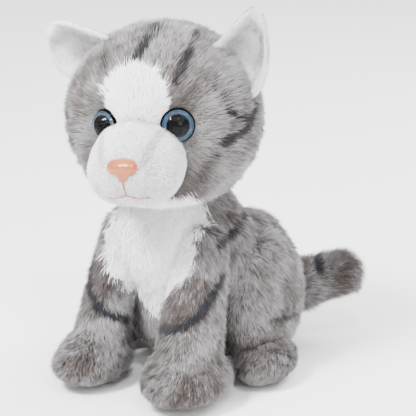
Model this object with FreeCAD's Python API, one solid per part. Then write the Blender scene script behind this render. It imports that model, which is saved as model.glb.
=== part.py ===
import FreeCAD, Part
import math
import os
from FreeCAD import Vector as V

# Sitting plush cat.  Millimetres, +Z up, the cat faces -Y and its left side is +X.
# The origin is the middle of the flat seat patch, on the surface the cat rests on.

# ---- driving dimensions -------------------------------------------------------
CLOTH = 1.2          # thickness of the plush backing cloth
EASE = 0.15          # air between a cloth panel and the filling behind it
GAP = 0.4            # air between surfaces of two bodies that move on each other

SEAT_C, SEAT_R = V(0, 0, 40), 41.0        # lower ball of the body
DOME_C, DOME_R = V(0, -18, 76), 32.7      # upper ball of the body, the neck turns on it
NECK_CUT = 97.5                           # lower edge height of the neck gusset

HEAD_C = V(0, -30, 137)
HEAD_TURN, HEAD_ROLL = 16.0, -5.0         # the head looks a little to its left and leans
SKULL_C, SKULL_R = V(0, 2, 0), (49, 46, 47)
MUZZLE_C, MUZZLE_R = V(0, -38, -13), (22.5, 23, 21)

EYE_P = V(18.5, -33, 3)                   # middle of the left eye seat
EYE_SHY = 2.5                             # the right eye sits this much nearer the nose
EYE_OUT = 28.0                            # each eye looks this far outwards
EYE_RAD = 8.2
EYE_SEAT = 18.0                           # radius of the dished seat round an eye
SHANK_R = 2.0

NOSE_P = V(0, -57, -10.5)

EAR_IN, EAR_OUT, EAR_TIP = V(31, -2, 36.3), V(48, 0, 9), V(54, -2, 50.5)
RIGHT_EAR = V(-23, -2, 41.2), V(-44.6, 0, 19), V(-56.5, -2, 47)
EAR_T = 2.4                               # thickness of one ear layer
EAR_CUP = 45.0                            # radius the ear is cupped to

SHOULDER, SHOULDER_R = V(20, -34, 74), 14.0
ANKLE, ANKLE_R = V(26, -52, 20), 15.0
PAW_C, PAW_R = V(26, -57, 13), (20, 27, 14)
SPLAY = 3.0                               # the left front leg is fuller and set wider
LEG_PLANE = 8.0                           # the chest between the front legs ends here

HIP_C, HIP_R = V(36, 4, 40), (19, 32, 38.5)
FOOT_C, FOOT_R = V(47, -8, 11), (15, 22, 12)
HIP_PLANE = 26.0                          # the body between the haunches ends here

TAIL_0, TAIL_1, TAIL_2 = V(5, 46, 31), V(29, 56, 30), V(47, 67, 37)
TAIL_R0, TAIL_R1, TAIL_R2 = 10.0, 12.3, 11.7

POUCH_C, POUCH_R = V(0, 0, 17), (23, 23, 12.5)

FAR = 200.0
SIDES = (("left", 1), ("right", -1))


# ---- small helpers ------------------------------------------------------------
def export(name, shape):
    """Write one piece as its own STEP file."""
    solids = shape.Solids
    if len(solids) > 1:
        shape = max(solids, key=lambda s: s.Volume)
    elif len(solids) == 1:
        shape = solids[0]
    shape.exportStep("parts/%s.step" % name)


def flip(v, side):
    """The point on the chosen side of the body."""
    return V(v.x * side, v.y, v.z)


def ball(centre, radius):
    return Part.makeSphere(radius, centre)


def ellipsoid(centre, radii, inset=0.0, seam=0):
    """An ellipsoid with shortened radii; seam turns where its surface closes."""
    scale = FreeCAD.Matrix()
    scale.scale(V(*[r - inset for r in radii]))
    shape = Part.makeSphere(1.0)
    shape.rotate(V(0, 0, 0), V(0, 0, 1), seam)
    shape = shape.transformGeometry(scale)
    shape.translate(centre)
    return shape


def box(x0, x1, y0, y1, z0, z1):
    return Part.makeBox(x1 - x0, y1 - y0, z1 - z0, V(x0, y0, z0))


def aim(shape, origin, direction):
    """Carry a shape built along +Z to an origin and a direction."""
    shape.Placement = FreeCAD.Placement(origin, FreeCAD.Rotation(V(0, 0, 1), direction))
    return shape


def taper(a, ra, b, rb):
    """Two balls and the cone that touches both, turned from one profile."""
    length = (b - a).Length
    lean = math.asin((ra - rb) / length)
    mid_a = (lean - math.pi / 2) / 2
    mid_b = (lean + math.pi / 2) / 2
    start = V(0, 0, -ra)
    on_a = V(ra * math.cos(lean), 0, ra * math.sin(lean))
    on_b = V(rb * math.cos(lean), 0, length + rb * math.sin(lean))
    end = V(0, 0, length + rb)
    via_a = V(ra * math.cos(mid_a), 0, ra * math.sin(mid_a))
    via_b = V(rb * math.cos(mid_b), 0, length + rb * math.sin(mid_b))
    edges = [Part.Arc(start, via_a, on_a).toShape(),
             Part.makeLine(on_a, on_b),
             Part.Arc(on_b, via_b, end).toShape(),
             Part.makeLine(end, start)]
    face = Part.Face(Part.Wire(edges))
    solid = face.revolve(V(0, 0, 0), V(0, 0, 1), 360)
    return aim(solid, a, b - a)


def half(side, start=0.0):
    """Everything beyond a plane of constant x on the chosen side."""
    if side > 0:
        return box(start, FAR, -FAR, FAR, -FAR, FAR)
    return box(-FAR, -start, -FAR, FAR, -FAR, FAR)


def rod(points, radius):
    """A round thread through the given points."""
    shape = ball(points[0], radius)
    for a, b in zip(points, points[1:]):
        part = Part.makeCylinder(radius, (b - a).Length, a, b - a)
        shape = shape.fuse([part, ball(b, radius)])
    return shape


# ---- head frame ---------------------------------------------------------------
HEAD_ROT = FreeCAD.Rotation(V(0, 0, 1), HEAD_TURN) * FreeCAD.Rotation(V(0, 1, 0), HEAD_ROLL)
HEAD_AT = FreeCAD.Placement(HEAD_C, HEAD_ROT)


def on_head(shape):
    """Carry a shape from the head's own frame to its place."""
    shape.Placement = HEAD_AT * shape.Placement
    return shape


def eye_axis(side):
    out = math.radians(EYE_OUT)
    return V(side * math.sin(out), -math.cos(out), 0.08).normalize()


def along_eye(side, offset):
    shift = V(0 if side > 0 else EYE_SHY, 0, 0)
    return flip(EYE_P, side) + shift + eye_axis(side) * offset


# ---- torso --------------------------------------------------------------------
def leg_size(side):
    """Shoulder, ankle and paw of one front leg, each with its radius."""
    grow = SPLAY if side > 0 else 0.0
    shift = V(grow, 0, 0)
    top = flip(SHOULDER + shift * 0.6, side)
    low = flip(ANKLE + shift, side)
    paw = flip(PAW_C + shift, side)
    radii = (PAW_R[0] + grow, PAW_R[1] + grow * 0.3, PAW_R[2])
    return top, SHOULDER_R + grow * 0.5, low, ANKLE_R + grow * 0.9, paw, radii


def leg_pocket(side, inset):
    """Room in the body for a front leg that swings forwards."""
    top, radius, low, low_radius, paw, paw_radii = leg_size(side)
    room = radius - SHOULDER_R
    back = [(-19.2, 70), (-32.2, 31), (-26.7, 30), (-26.7, -5)]
    back = [(y + room * 1.6, z) for y, z in back]
    back += [(-110, -5), (-110, 92), (-47, 92), (-40, 74)]
    wire = Part.makePolygon([V(0, y, z) for y, z in back + back[:1]])
    face = Part.Face(wire)
    if inset > 0:
        face = Part.Face(face.makeOffset2D(inset).Wires[0])
    prism = face.extrude(V(side * 90, 0, 0))
    prism.translate(V(side * (LEG_PLANE - inset), 0, 0))
    start = V(side * (LEG_PLANE - inset), SHOULDER.y, SHOULDER.z)
    hub = Part.makeCylinder(radius + GAP + inset, 90, start, V(side, 0, 0))
    return [prism, hub]


def torso(inset):
    """The stuffed body, with room for the legs and the tail root."""
    shape = taper(SEAT_C, SEAT_R - inset, DOME_C, DOME_R - inset)
    room = GAP + inset
    cuts = [box(-FAR, FAR, -FAR, FAR, -FAR, inset)]
    for swing in (0, -6):
        tail = taper(TAIL_0, TAIL_R0 + room, TAIL_1, TAIL_R1 + room)
        tail.rotate(TAIL_0, V(0, 0, 1), swing)
        cuts.append(tail)
    for name, side in SIDES:
        haunch_room = half(side, HIP_PLANE - inset)
        haunch_room = haunch_room.common(box(-FAR, FAR, -FAR, FAR, -FAR, 80 + inset))
        cuts += leg_pocket(side, inset) + [haunch_room]
    return shape.cut(cuts)


def build_torso():
    outer = torso(0)
    skin = outer.cut(torso(CLOTH))
    seat_zone = Part.makeCylinder(24, 12, V(0, 0, -1))
    chest_zone = box(-FAR, FAR, -FAR, -20, 30, 98)
    seat = skin.common(seat_zone)
    rest = skin.cut(seat_zone)
    chest = rest.common(chest_zone)
    back = rest.cut(chest_zone)
    export("seat_panel", seat)
    export("chest_panel", chest)
    for name, side in SIDES:
        export("back_panel_" + name, back.common(half(side)))
    pouch = ellipsoid(POUCH_C, POUCH_R)
    export("pellet_pouch", pouch.cut(ellipsoid(POUCH_C, POUCH_R, 0.8)))
    export("pellet_fill", ellipsoid(POUCH_C, POUCH_R, 0.9))
    export("body_fill", torso(CLOTH + EASE).cut(ellipsoid(POUCH_C, POUCH_R, -0.1)))
    # the closing seam lies just outside the cloth, on the straight of the back
    spine = DOME_C - SEAT_C
    lean = math.asin((SEAT_R - DOME_R) / spine.Length)
    turn = FreeCAD.Rotation(V(0, 0, 1), spine)
    out = turn.multVec(V(0, math.cos(lean), math.sin(lean)))
    low = SEAT_C + out * (SEAT_R + 0.6)
    high = DOME_C + out * (DOME_R + 0.6)
    run = high - low
    export("closing_seam_thread", rod([low + run * 0.1, high - run * 0.25], 0.4))


def build_neck():
    shell = ball(DOME_C, DOME_R + 1.3).cut(ball(DOME_C, DOME_R + GAP))
    export("neck_gusset", shell.cut(box(-FAR, FAR, -FAR, FAR, -FAR, NECK_CUT)))


# ---- head ---------------------------------------------------------------------
def skull(inset):
    shape = on_head(ellipsoid(SKULL_C, SKULL_R, inset))
    dishes = [on_head(ball(along_eye(side, EYE_SEAT - 0.6), EYE_SEAT + inset))
              for name, side in SIDES]
    return shape.cut(dishes)


def muzzle(inset):
    shape = on_head(ellipsoid(MUZZLE_C, MUZZLE_R, inset))
    rooms = []
    for name, side in SIDES:
        room = Part.makeCylinder(EYE_RAD + 0.4 + inset, 20)
        rooms.append(on_head(aim(room, along_eye(side, -3), eye_axis(side))))
    return shape.cut(rooms)


def ear_base(side):
    a, b, tip = (EAR_IN, EAR_OUT, EAR_TIP) if side > 0 else RIGHT_EAR
    run = (b - a).normalize()
    return a, b, tip, run


def head(inset):
    """The stuffed head with its neck socket, eye seats and ear darts."""
    shape = skull(inset).fuse(muzzle(inset))
    cuts = [ball(DOME_C, DOME_R + 1.6 + inset)]
    for name, side in SIDES:
        a, b, tip, run = ear_base(side)
        length = (b - a).Length + 2 + 2 * inset
        dart = Part.makeCylinder(6.2 + inset, length, a - run * (1 + inset), run)
        cuts.append(on_head(dart))
    return shape.cut(cuts)


def shank_rooms(extra):
    """Holes for the posts of the eyes and the nose."""
    rooms = []
    for name, side in SIDES:
        post = Part.makeCylinder(SHANK_R + extra, 12)
        rooms.append(on_head(aim(post, along_eye(side, -10), eye_axis(side))))
    post = Part.makeCylinder(SHANK_R + extra, 14, V(0, -48, NOSE_P.z), V(0, -1, 0))
    rooms.append(on_head(post))
    return rooms


def washer_solids(extra):
    """The locking washers on the posts, grown by extra when used as rooms."""
    discs = []
    for name, side in SIDES:
        disc = Part.makeCylinder(6.5 + extra, 1.4 + 2 * extra)
        discs.append(on_head(aim(disc, along_eye(side, -3.6 - extra), eye_axis(side))))
    front = V(0, -57.0 - extra, NOSE_P.z)
    disc = Part.makeCylinder(5.0 + extra, 1.4 + 2 * extra, front, V(0, 1, 0))
    discs.append(on_head(disc))
    return discs


def build_head_panels():
    outer = head(0)
    skin = outer.cut(head(CLOTH)).cut(shank_rooms(0.1))
    skull_zone = on_head(ellipsoid(SKULL_C, SKULL_R))
    front = skin.cut(skull_zone)
    export("muzzle_panel", front)
    rest = skin.common(skull_zone)
    blaze_zone = Part.makeCylinder(17, 80, V(0, 0, 24), V(0, -1, 0))
    blaze_zone = on_head(blaze_zone)
    chin_zone = on_head(box(-FAR, FAR, -FAR, 20, -FAR, -30))
    export("blaze_panel", rest.common(blaze_zone))
    export("chin_panel", rest.common(chin_zone))
    rest = rest.cut([blaze_zone, chin_zone])
    for name, side in SIDES:
        export("head_panel_" + name, rest.common(on_head(half(side))))
    fill = head(CLOTH + EASE)
    export("head_fill", fill.cut(shank_rooms(0.1) + washer_solids(0.1)))


def build_eyes():
    """Plastic safety eyes: post and back plate, painted disc, clear dome, washer."""
    washers = washer_solids(0)
    rise = 5.2
    curve = (EYE_RAD ** 2 + rise ** 2) / (2 * rise)
    for (name, side), washer in zip(SIDES, washers):
        axis = eye_axis(side)

        def place(shape, offset):
            return on_head(aim(shape, along_eye(side, offset), axis))

        plate = Part.makeCylinder(EYE_RAD + 0.1, 0.8, V(0, 0, 8.4))
        back = plate.fuse(Part.makeCylinder(SHANK_R, 8.6))
        ring = Part.makeCylinder(7.9, 0.5).cut(Part.makeCylinder(5.0, 0.5))
        dome = ball(V(0, 0, rise - curve), curve).common(Part.makeCylinder(20, 20))
        export("eye_%s_back" % name, place(back, -7.0))
        export("eye_%s_iris" % name, place(ring, 2.25))
        export("eye_%s_pupil" % name, place(Part.makeCylinder(4.95, 0.5), 2.25))
        export("eye_%s_dome" % name, place(dome, 2.8))
        hole = Part.makeCylinder(SHANK_R + 0.05, 12)
        hole = on_head(aim(hole, along_eye(side, -10), axis))
        export("eye_%s_washer" % name, washer.cut(hole))


def build_nose():
    """A soft triangular nose: two upper lobes and a narrower chin."""
    lobes = [ellipsoid(V(side * 3.0, 0, 1.7), (5.0, 6.6, 4.5)) for side in (1, -1)]
    chin = ellipsoid(V(0, 0, -1.2), (4.9, 6.4, 5.0))
    body = chin.fuse(lobes)
    body.translate(NOSE_P)
    body = on_head(body)
    body = body.cut(on_head(ellipsoid(MUZZLE_C, MUZZLE_R, -0.05)))
    post = Part.makeCylinder(SHANK_R, 12, V(0, -50, NOSE_P.z), V(0, -1, 0))
    export("nose", body.fuse(on_head(post)))
    hole = Part.makeCylinder(SHANK_R + 0.05, 20, V(0, -45, NOSE_P.z), V(0, -1, 0))
    export("nose_washer", washer_solids(0)[2].cut(on_head(hole)))


def on_muzzle(x, z, rise):
    """A point over the front of the muzzle, at x and z of the head frame."""
    a, b, c = [r + rise for r in MUZZLE_R]
    part = 1 - (x / a) ** 2 - ((z - MUZZLE_C.z) / c) ** 2
    return V(x, MUZZLE_C.y - b * math.sqrt(part), z)


def build_mouth():
    stem = [on_muzzle(0, z, 0.9) for z in (-17.6, -20, -22.5)]
    shape = rod(stem, 0.6)
    for side in (1, -1):
        arm = [on_muzzle(side * x, -22.5 - drop, 0.9)
               for x, drop in ((0, 0), (3, 2.2), (6.5, 3.6), (10, 3.6))]
        shape = shape.fuse(rod(arm, 0.6))
    export("mouth_thread", on_head(shape))


# ---- ears ---------------------------------------------------------------------
def ear_frame(side):
    """Run along the base, rise to the tip and the way the inside faces."""
    a, b, tip, run = ear_base(side)
    mid = (a + b) * 0.5
    rise = tip - mid
    rise = (rise - run * rise.dot(run)).normalize()
    face = run.cross(rise) * side
    return a, b, tip, mid, run, rise, face


def ear_outline(side):
    a, b, tip, mid, run, rise, face = ear_frame(side)
    low = rise * -1.0
    near = a + run * 0.5
    far = b - run * 0.5
    left = tip - run * 4.5 - rise * 3.5
    right = tip + run * 4.5 - rise * 3.5
    bulge_in = (near + left) * 0.5 - run * 1.5
    bulge_out = (far + right) * 0.5 + run * 4.5
    edges = [Part.makeLine(near + low, far + low),
             Part.makeLine(far + low, far),
             Part.Arc(far, bulge_out, right).toShape(),
             Part.Arc(right, tip, left).toShape(),
             Part.Arc(left, bulge_in, near).toShape(),
             Part.makeLine(near, near + low)]
    return Part.Face(Part.Wire(edges))


def build_ears():
    for name, side in SIDES:
        a, b, tip, mid, run, rise, face = ear_frame(side)
        blank = ear_outline(side)
        blank.translate(face * -9)
        blank = blank.extrude(face * 18)
        centre = mid + face * (EAR_CUP - 4.1) - rise * 60
        layers = (("back", EAR_CUP, EAR_CUP - EAR_T),
                  ("lining", EAR_CUP - EAR_T - 0.05, EAR_CUP - 2 * EAR_T))
        for layer, big, small in layers:
            shell = Part.makeCylinder(big, 160, centre, rise)
            shell = shell.cut(Part.makeCylinder(small, 160, centre, rise))
            export("ear_%s_%s" % (name, layer), on_head(blank.common(shell)))


# ---- legs ---------------------------------------------------------------------
def front_leg(side, inset):
    top, top_r, low, low_r, paw, paw_r = leg_size(side)
    shape = taper(top, top_r - inset, low, low_r - inset)
    shape = shape.fuse(ellipsoid(paw, paw_r, inset))
    shape = shape.common(half(side, LEG_PLANE + GAP + inset))
    return shape.cut(box(-FAR, FAR, -FAR, FAR, -FAR, inset))


def hind_leg(side, inset):
    inner = half(side, HIP_PLANE + GAP + inset)
    haunch = ellipsoid(flip(HIP_C, side), HIP_R, inset, 90 + 90 * side)
    foot = ellipsoid(flip(FOOT_C, side), FOOT_R, inset, 90)
    shape = haunch.common(inner).fuse(foot.common(inner))
    top, top_r, low, low_r, paw, paw_r = leg_size(side)
    room = GAP + inset
    leg_room = taper(top, top_r + room, low, low_r + room)
    return shape.cut([box(-FAR, FAR, -FAR, FAR, -FAR, inset), leg_room])


def build_legs():
    for name, side in SIDES:
        skin = front_leg(side, 0).cut(front_leg(side, CLOTH))
        middle = half(side, 24)
        export("front_leg_%s_outer_panel" % name, skin.common(middle))
        export("front_leg_%s_inner_panel" % name, skin.cut(middle))
        export("front_leg_%s_fill" % name, front_leg(side, CLOTH + EASE))
        skin = hind_leg(side, 0).cut(hind_leg(side, CLOTH))
        foot_zone = box(-FAR, FAR, -FAR, 14, -FAR, 23)
        export("hind_foot_%s_panel" % name, skin.common(foot_zone))
        export("haunch_%s_panel" % name, skin.cut(foot_zone))
        export("hind_leg_%s_fill" % name, hind_leg(side, CLOTH + EASE))


# ---- tail ---------------------------------------------------------------------
def tail_root(inset):
    """The tail next to the body; its far end is a cup for the tail tip."""
    shape = taper(TAIL_0, TAIL_R0 - inset, TAIL_1, TAIL_R1 - inset)
    run = (TAIL_1 - TAIL_0).normalize()
    stop = Part.makeCylinder(FAR, FAR, TAIL_1 - run * (5 + inset), run)
    return shape.cut([stop, ball(TAIL_1, TAIL_R1 + GAP + inset)])


def tail_end(inset):
    return taper(TAIL_1, TAIL_R1 - inset, TAIL_2, TAIL_R2 - inset)


def build_tail():
    for name, make in (("tail_root", tail_root), ("tail_end", tail_end)):
        export(name + "_skin", make(0).cut(make(CLOTH)))
        export(name + "_fill", make(CLOTH + EASE))


# ---- build --------------------------------------------------------------------
os.makedirs("parts", exist_ok=True)
build_torso()
build_neck()
build_head_panels()
build_eyes()
build_nose()
build_mouth()
build_ears()
build_legs()
build_tail()
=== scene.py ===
import math

import bpy
import numpy as np
from mathutils import Matrix, Vector


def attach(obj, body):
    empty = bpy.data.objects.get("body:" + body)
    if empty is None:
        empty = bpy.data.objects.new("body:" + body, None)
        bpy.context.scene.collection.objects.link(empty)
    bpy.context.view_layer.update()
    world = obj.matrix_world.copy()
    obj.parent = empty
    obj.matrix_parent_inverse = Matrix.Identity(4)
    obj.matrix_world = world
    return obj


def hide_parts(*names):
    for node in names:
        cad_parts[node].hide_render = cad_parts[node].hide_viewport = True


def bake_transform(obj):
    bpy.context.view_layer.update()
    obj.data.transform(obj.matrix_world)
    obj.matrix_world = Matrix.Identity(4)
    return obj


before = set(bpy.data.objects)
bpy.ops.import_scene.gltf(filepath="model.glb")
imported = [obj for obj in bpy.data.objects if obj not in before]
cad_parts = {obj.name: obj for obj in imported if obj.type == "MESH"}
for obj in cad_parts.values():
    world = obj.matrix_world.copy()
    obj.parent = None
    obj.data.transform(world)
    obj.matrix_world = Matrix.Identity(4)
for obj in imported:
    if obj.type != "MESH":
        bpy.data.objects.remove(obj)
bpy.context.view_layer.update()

MM = 0.001

# ---- sizes in millimetres, the same as in the CAD part unless a note says otherwise ----
PILE = 4.0                      # how far the cloth lies under the tips of the long pile
SHORT = 1.6                     # the same for the short white pile
HEAD_C = np.array([0.0, -30, 137])
HEAD_TURN, HEAD_ROLL = 16.0, -5.0
SKULL_C, SKULL_R = (0, 2, 0), (49, 46, 47)
MUZZLE_C, MUZZLE_R = (0, -38, -13), (22.5, 23, 21)
EYE_P, EYE_SHY, EYE_OUT = (18.5, -33, 3), 2.5, 28.0
EYE_RAD = 8.3                   # 0.1 mm wider than in the CAD part
EARS = {1: ((31, -2, 36.3), (48, 0, 9), (54, -2, 50.5)),
        -1: ((-23, -2, 41.2), (-44.6, 0, 19), (-56.5, -2, 47))}
SEAT_C, SEAT_R, DOME_C, DOME_R = (0, 0, 40), 41.0, (0, -18, 76), 32.7
ANKLE, ANKLE_R = (26, -52, 20), 15.0
PAW_C, PAW_R = (26, -57, 13), (20, 27, 14)
SPLAY = 3.0                     # the left front leg is fuller and set wider
NOSE_P = (0, -57, -12.0)        # 1.5 mm lower than in the CAD part
HIP_C, HIP_R, FOOT_C, FOOT_R = (36, 4, 40), (19, 32, 38.5), (47, -8, 11), (15, 22, 12)
TAIL = ((5, 46, 31), (29, 56, 30), (47, 67, 37))
TAIL_R = (10.0, 12.3, 11.7)

# ---- sizes only this model has ---------------------------------------------------
TAIL_WAY = (18, 11, 7)          # the way the tail points
SOLE = 0.3                      # height of the lowest cloth over the floor
HAIR_LOW = 0.15                 # height of the lowest hair over the floor
DISH_R, DISH_AHEAD = 18.0, 17.4  # the hollow round each eye and how far ahead its centre is
PUPIL_R, IRIS_IN, IRIS_OUT = 5.05, 4.95, 7.35
DOME_RISE, DOME_IN, DOME_LIFT = 5.0, 0.55, 2.78
THREAD_R, THREAD_LIFT = 0.42, 1.7
HAIRS_PER_MESH = 60000

SIDES = (("left", 1), ("right", -1))


def vec(*p):
    return np.array(p, float)


def turn(axis, degrees):
    return np.array(Matrix.Rotation(math.radians(degrees), 3, axis))


HEAD_M = turn("Z", HEAD_TURN) @ turn("Y", HEAD_ROLL)


def head_out(p):
    """From the head's own frame to the row frame."""
    return np.asarray(p, float) @ HEAD_M.T + HEAD_C


def head_in(p):
    """From the row frame to the head's own frame."""
    return (np.asarray(p, float) - HEAD_C) @ HEAD_M


def flip(p, side):
    return vec(p[0] * side, p[1], p[2])


def unit(v):
    return v / np.maximum(np.linalg.norm(v, axis=-1, keepdims=True), 1e-9)


def ramp(x, lo, hi):
    t = np.clip((x - lo) / (hi - lo), 0, 1)
    return t * t * (3 - 2 * t)


# ---- distance fields --------------------------------------------------------------
def f_ball(p, c, r):
    return np.linalg.norm(p - vec(*c), axis=-1) - r


def f_egg(p, c, r, inset=0.0):
    """Distance to an ellipsoid, near enough close to its surface."""
    r = vec(*r) - inset
    q = p - vec(*c)
    a = np.linalg.norm(q / r, axis=-1)
    b = np.linalg.norm(q / r**2, axis=-1)
    return a * (a - 1) / np.maximum(b, 1e-9)


def f_limb(p, a, ra, b, rb):
    """Distance to a limb that tapers from a to b."""
    a, b = vec(*a), vec(*b)
    run = b - a
    t = np.clip((p - a) @ run / (run @ run), 0, 1)
    return np.linalg.norm(p - a - t[..., None] * run, axis=-1) - (ra + (rb - ra) * t)


def join(a, b, k):
    """Smooth union."""
    h = np.clip(0.5 + 0.5 * (b - a) / k, 0, 1)
    return b + (a - b) * h - k * h * (1 - h)


def carve(a, b, k):
    """a with b cut away, smooth at the edge."""
    return -join(-a, b, k)


def waves(p, size, seed, count=9):
    """Smooth noise from -1 to 1 made of plane waves, at a grain size in mm."""
    rng = np.random.default_rng(seed)
    k = unit(rng.normal(size=(count, 3))) * (2 * math.pi / size)
    k *= rng.uniform(0.6, 1.6, (count, 1))
    phase = rng.uniform(0, 2 * math.pi, count)
    return np.sin(p @ k.T + phase).sum(-1) / math.sqrt(count)


def line_distance(p, pts):
    best = np.full(p.shape[:-1], 1e9)
    for a, b in zip(pts, pts[1:]):
        best = np.minimum(best, f_limb(p, a, 0, b, 0))
    return best


# ---- body parts as distance fields --------------------------------------------------
def eye_axis(side):
    out = math.radians(EYE_OUT)
    return unit(vec(side * math.sin(out), -math.cos(out), 0.08))


def eye_at(side):
    return flip(EYE_P, side) + vec(0 if side > 0 else EYE_SHY, 0, 0)


def skull_field(p, inset=PILE):
    """p in the head's frame."""
    d = f_egg(p, SKULL_C, SKULL_R, inset)
    for name, side in SIDES:
        dish = eye_at(side) + eye_axis(side) * DISH_AHEAD
        d = carve(d, f_ball(p, dish, DISH_R), 5)
    return d


def muzzle_field(p, inset=SHORT):
    d = f_egg(p, MUZZLE_C, MUZZLE_R, inset)
    for name, side in SIDES:
        d = join(d, f_ball(p, (side * 7.5, -46.5, -16.5), 14.5 - inset), 5)
        crease = [flip(q, side) for q in ((13, -51, 3.5), (11.5, -58, -3), (10, -60.5, -9))]
        d = carve(d, line_distance(p, crease) - 1.5, 2.6)
    groove = f_limb(p, (0, -62.5, -18), 0.8, (0, -54, -37), 1.2)
    return carve(d, groove, 3.0)


def torso_field(p, inset=PILE):
    d = f_limb(p, SEAT_C, SEAT_R - inset, DOME_C, DOME_R - inset)
    d = join(d, f_egg(p, (0, -26, 74), (28, 24, 32), inset), 6)
    d = join(d, f_limb(p, DOME_C, DOME_R - inset, (0, -20, 92), 27 - inset), 6)
    for name, side in SIDES:
        d = join(d, f_egg(p, flip((26, 8, 50), side), (19, 30, 34), inset), 10)
        d = join(d, f_egg(p, flip((26, -14, 66), side), (14, 17, 26), inset), 8)
    return np.maximum(d, SOLE - p[..., 2])


def leg_field(p, side, inset=PILE):
    grow = SPLAY if side > 0 else 0.0
    top, low = flip((22 + grow * 0.6, -33, 76), side), flip(ANKLE, side) + vec(grow, 0, 0)
    paw = flip(PAW_C, side) + vec(grow, grow * 1.2, 0)
    radii = vec(*PAW_R) + vec(grow, grow * 0.3, 0)
    d = f_limb(p, top, 13.5 + grow * 0.5 - inset, low, ANKLE_R + grow * 0.9 - inset)
    d = join(d, f_egg(p, paw, radii, inset * 1.05), 7)
    return np.maximum(d, SOLE - p[..., 2])


def haunch_field(p, side, inset=PILE):
    d = f_egg(p, flip(HIP_C, side), HIP_R, inset + 0.8)
    d = join(d, f_egg(p, flip(FOOT_C, side), FOOT_R, inset * 0.8), 7)
    return np.maximum(d, SOLE - p[..., 2])


def tail_field(p, inset=PILE * 0.75):
    d = f_limb(p, TAIL[0], TAIL_R[0] - inset, TAIL[1], TAIL_R[1] - inset)
    return join(d, f_limb(p, TAIL[1], TAIL_R[1] - inset, TAIL[2], TAIL_R[2] - inset), 5)


# ---- meshes -------------------------------------------------------------------------
def make_mesh(name, verts, faces):
    """A smooth mesh object from millimetre points and face lists or a face array."""
    me = bpy.data.meshes.new(name)
    me.from_pydata([tuple(v) for v in np.asarray(verts) * MM], [], [tuple(f) for f in faces])
    me.polygons.foreach_set("use_smooth", [True] * len(me.polygons))
    me.update()
    ob = bpy.data.objects.new(name, me)
    bpy.context.scene.collection.objects.link(ob)
    return ob


def points_of(ob):
    co = np.zeros(len(ob.data.vertices) * 3)
    ob.data.vertices.foreach_get("co", co)
    return co.reshape(-1, 3) / MM


def set_points(ob, pts):
    ob.data.vertices.foreach_set("co", (np.asarray(pts) * MM).ravel())
    ob.data.update()


def ico(level):
    """Directions spread evenly over a ball, and the triangles between them."""
    bpy.ops.mesh.primitive_ico_sphere_add(subdivisions=level, radius=1.0)
    ob = bpy.context.object
    n = len(ob.data.vertices)
    co = np.zeros(n * 3)
    ob.data.vertices.foreach_get("co", co)
    faces = np.array([p.vertices[:] for p in ob.data.polygons])
    me = ob.data
    bpy.data.objects.remove(ob)
    bpy.data.meshes.remove(me)
    return unit(co.reshape(-1, 3)), faces


ICO = {level: ico(level) for level in (5, 6)}


def cast(field, centre, rays, reach):
    """The last point along each ray from the centre that is inside the field."""
    centre = vec(*centre)
    steps = np.linspace(0, reach, 46)
    inside_at = np.zeros(len(rays))
    for t in steps:
        inside = field(centre + rays * t) < 0
        inside_at = np.where(inside, t, inside_at)
    lo, hi = inside_at, inside_at + steps[1]
    for _ in range(12):
        mid = (lo + hi) / 2
        inside = field(centre + rays * mid[:, None]) < 0
        lo, hi = np.where(inside, mid, lo), np.where(inside, hi, mid)
    return centre + rays * lo[:, None]


def blob(name, field, centre, level=5, reach=90):
    """A closed skin over a distance field, seen from one inner point."""
    rays, faces = ICO[level]
    rays = unit(rays)
    return make_mesh(name, cast(field, centre, rays, reach), faces)


def relax(ob, rounds):
    """Evens out the mesh without shrinking it much."""
    factor = 0.5
    pts = points_of(ob)
    edges = np.array([e.vertices[:] for e in ob.data.edges])
    n = len(pts)
    deg = np.bincount(edges.ravel(), minlength=n)[:, None]
    for k in range(rounds * 2):
        total = np.zeros((n, 3))
        for c in range(3):
            total[:, c] += np.bincount(edges[:, 0], pts[edges[:, 1], c], n)
            total[:, c] += np.bincount(edges[:, 1], pts[edges[:, 0], c], n)
        step = factor if k % 2 == 0 else -factor * 1.04
        pts = pts + step * (total / deg - pts)
    set_points(ob, pts)


def puff(ob, seam, cap, pressure=4.0):
    """Blows a sewn cover up with the cloth solver while its seams stay put.

    seam gives each vertex a weight from 0 to 1 that holds it in place."""
    rest = points_of(ob)
    group = ob.vertex_groups.new(name="held")
    weights = np.clip(seam, 0, 1)
    for value in np.unique(np.round(weights, 1)):
        ids = np.nonzero(np.round(weights, 1) == value)[0]
        if value > 0:
            group.add([int(i) for i in ids], float(value), "REPLACE")
    cloth = ob.modifiers.new("Cloth", "CLOTH")
    s = cloth.settings
    s.quality = 4
    s.mass = 0.2
    s.tension_stiffness = s.compression_stiffness = 12
    s.shear_stiffness = 6
    s.bending_stiffness = 0.6
    s.use_pressure = True
    s.uniform_pressure_force = pressure
    s.vertex_group_mass = "held"
    s.pin_stiffness = 1.0
    s.effector_weights.gravity = 0
    cloth.collision_settings.use_collision = False
    scene = bpy.context.scene
    for f in range(1, 16):
        scene.frame_set(f)
    dg = bpy.context.evaluated_depsgraph_get()
    ev = ob.evaluated_get(dg)
    co = np.zeros(len(ev.data.vertices) * 3)
    ev.data.vertices.foreach_get("co", co)
    moved = co.reshape(-1, 3) / MM - rest
    length = np.linalg.norm(moved, axis=1, keepdims=True)
    moved *= np.minimum(1, cap / np.maximum(length, 1e-6))
    ob.modifiers.remove(cloth)
    ob.vertex_groups.remove(group)
    scene.frame_set(1)
    set_points(ob, rest + np.nan_to_num(moved))
    relax(ob, 1)


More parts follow.
